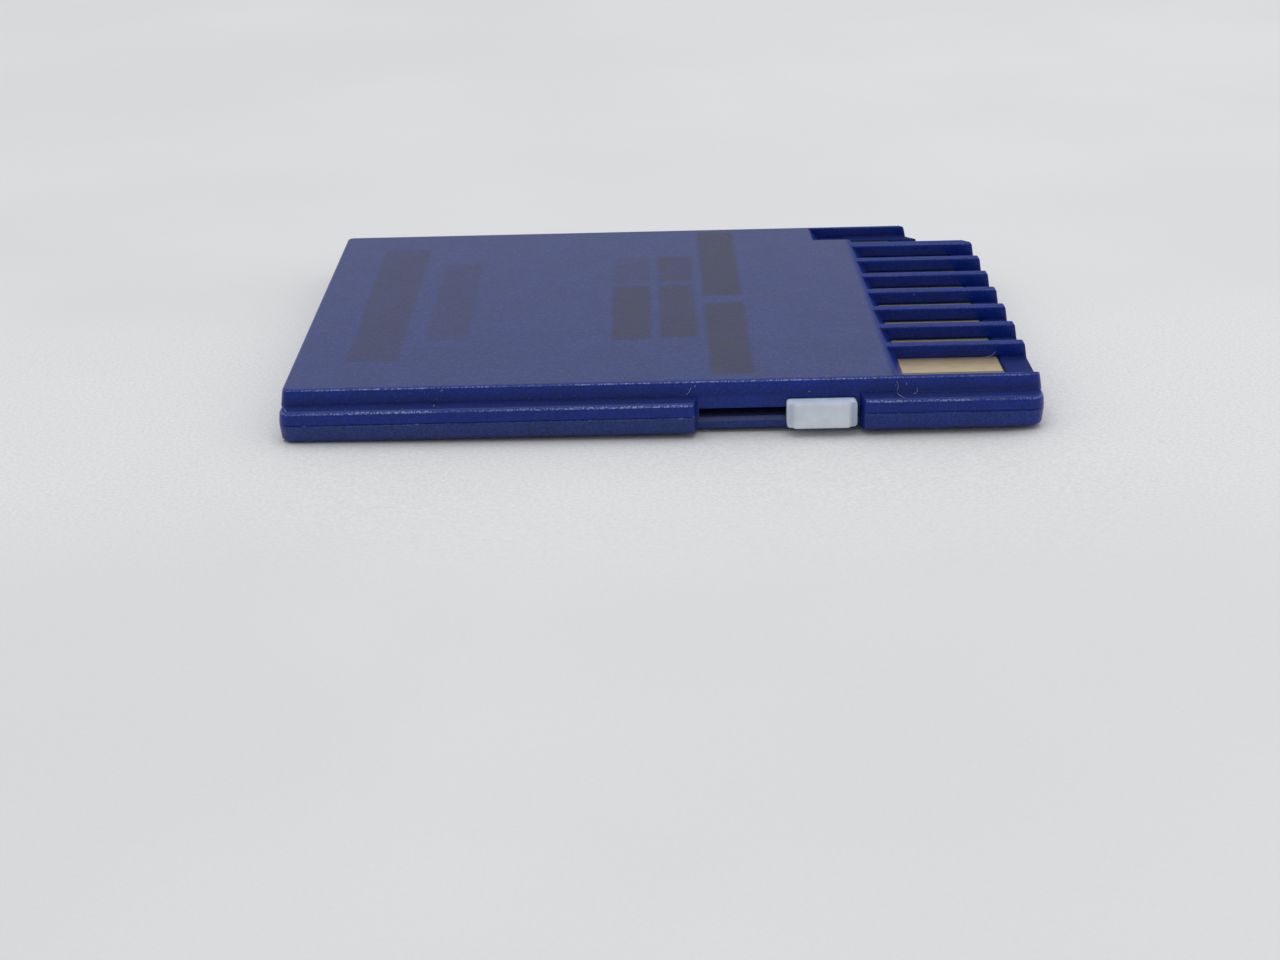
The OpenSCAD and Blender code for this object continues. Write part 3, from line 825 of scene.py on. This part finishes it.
class CARD_OT_stage(Operator):
    """Makes the floor, the lights and the camera"""

    bl_idname = "memory_card.stage"
    bl_label = "Stage"

    def execute(self, context):
        settings = context.scene.card_stage
        scene = context.scene
        world_light(scene)
        self.make_floor(scene, settings)
        self.make_lamp(
            scene, "key_lamp", (-0.02, 0.05, 0.40), (0.36, 0.30), settings.key_power
        )
        self.make_lamp(
            scene, "front_lamp", (0.0, -0.31, 0.16), (0.04, 0.04), settings.front_power
        )
        self.make_camera(scene, settings)
        scene.view_settings.view_transform = "Standard"
        return {"FINISHED"}

    def make_floor(self, scene, settings):
        """A large sheet that sags a little under the card's near side."""
        f = Finish("pale_floor")
        x, y = f.axes()[:2]
        cloud = f.grain(26 * MM, detail=3.0)
        fibre = f.grain(0.35 * MM, detail=3.0, shift=4.0)
        tooth = f.grain(0.15 * MM, detail=2.0, rough=0.7, shift=6.0)
        bits = f.grain(0.45 * MM, detail=1.0, stretch=(1.0, 0.6, 1.0), shift=8.0)
        near = f.between(y, *TEXTURE_AND_LIGHT_STRIP, 6.0)
        colour = tuple(settings.floor)
        dim = tuple(c * 0.965 for c in colour)
        body = f.tint(f.ramp(cloud, 0.35, 0.7), dim, colour)
        # Painted light: the strip along the card is 3 % brighter
        shade = 1.0 + (tooth - 0.5) * (0.07 + near * 0.38) + near * 0.030
        shade = shade - f.ramp(bits, 0.70, 0.80) * near * 0.06
        # Painted shade: the floor darkens by 3.4 % towards the left
        shade = shade * f.ramp(x, -30.0, 30.0, 0.966, 1.0)
        body = f.shaded(body, shade)
        material = f.surface(
            base_color=body,
            roughness=0.75,
            specular_ior_level=0.2,
            normal=f.bump(fibre, 0.02 * MM, strength=0.5),
        )
        shape = bmesh.new()
        bmesh.ops.create_grid(
            shape, x_segments=FLOOR_CELLS, y_segments=FLOOR_CELLS, size=1.0
        )
        for vertex in shape.verts:
            across, along = (
                FLOOR_NEAR_REACH * u + FLOOR_FAR_REACH * u ** 3 for u in vertex.co.xy
            )
            vertex.co = (across, along, -self.sag(across / MM, along / MM) * MM)
        floor = make_object(scene, "floor", shape, material)

    def sag(self, x, y):
        """How far the sheet lies under the card at a place, in millimetres."""
        depth = 0.0
        for (low, start), (high, end) in zip(SAG, SAG[1:]):
            if low <= x < high:
                depth = start + (end - start) * (x - low) / (high - low)
        if y > SAG_BACK:
            share = 1.0 - (y - SAG_BACK) / SAG_BACK_FADE
        else:
            share = 1.0 - (SAG_FRONT - y) / SAG_FRONT_FADE
        share = min(1.0, max(0.0, share))
        return depth * share * share * (3.0 - 2.0 * share)

    def make_lamp(self, scene, name, place, size, power):
        """A soft rectangular lamp that shines at the card."""
        lamp = bpy.data.lights.new(name, "AREA")
        lamp.shape = "RECTANGLE"
        lamp.size, lamp.size_y = size
        lamp.energy = power
        lamp.color = (1.0, 0.995, 0.985)
        stand = bpy.data.objects.new(name, lamp)
        stand.location = place
        stand.rotation_euler = (-stand.location).to_track_quat("-Z", "Y").to_euler()
        scene.collection.objects.link(stand)

    def make_camera(self, scene, settings):
        """A camera at the place and angle that the settings give."""
        data = bpy.data.cameras.new("camera")
        data.sensor_width = 36.0
        data.lens = settings.lens
        data.clip_start = 0.001
        data.clip_end = 10.0
        camera = bpy.data.objects.new("camera", data)
        down, turn, lean = settings.pitch, settings.yaw, settings.roll
        ahead = Vector((
            math.sin(turn) * math.cos(down),
            math.cos(turn) * math.cos(down),
            -math.sin(down),
        ))
        level = Vector((math.cos(turn), -math.sin(turn), 0.0))
        upright = level.cross(ahead)
        right = math.cos(lean) * level + math.sin(lean) * upright
        above = math.cos(lean) * upright - math.sin(lean) * level
        axes = Matrix((right, above, -ahead)).transposed()
        camera.matrix_world = Matrix.Translation(settings.place) @ axes.to_4x4()
        scene.collection.objects.link(camera)
        scene.camera = camera


class CARD_PT_looks(Panel):
    """Lists the steps that dress the memory card"""

    bl_label = "Memory Card"
    bl_idname = "CARD_PT_looks"
    bl_space_type = "VIEW_3D"
    bl_region_type = "UI"
    bl_category = "Memory Card"

    def draw(self, context):
        for step in STEPS:
            self.layout.operator(step.bl_idname)
        for group, properties in GROUPS.items():
            settings = getattr(context.scene, group)
            box = self.layout.box()
            for name in properties.__annotations__:
                box.prop(settings, name)


GROUPS = {
    "card_shells": ShellFinish,
    "card_slider": SliderFinish,
    "card_contacts": ContactFinish,
    "card_dust": DustSettings,
    "card_stage": StageSettings,
}
STEPS = (
    CARD_OT_shells,
    CARD_OT_slider,
    CARD_OT_contacts,
    CARD_OT_board,
    CARD_OT_chips,
    CARD_OT_dust,
    CARD_OT_stage,
)


def register():
    for cls in (*GROUPS.values(), *STEPS, CARD_PT_looks):
        bpy.utils.register_class(cls)
    for name, group in GROUPS.items():
        setattr(bpy.types.Scene, name, PointerProperty(type=group))


def unregister():
    for name in GROUPS:
        delattr(bpy.types.Scene, name)
    for cls in reversed((*GROUPS.values(), *STEPS, CARD_PT_looks)):
        bpy.utils.unregister_class(cls)


def main():
    """Runs every step in order."""
    register()
    for step in STEPS:
        group, name = step.bl_idname.split(".")
        getattr(getattr(bpy.ops, group), name)()


if __name__ == "__main__":
    main()
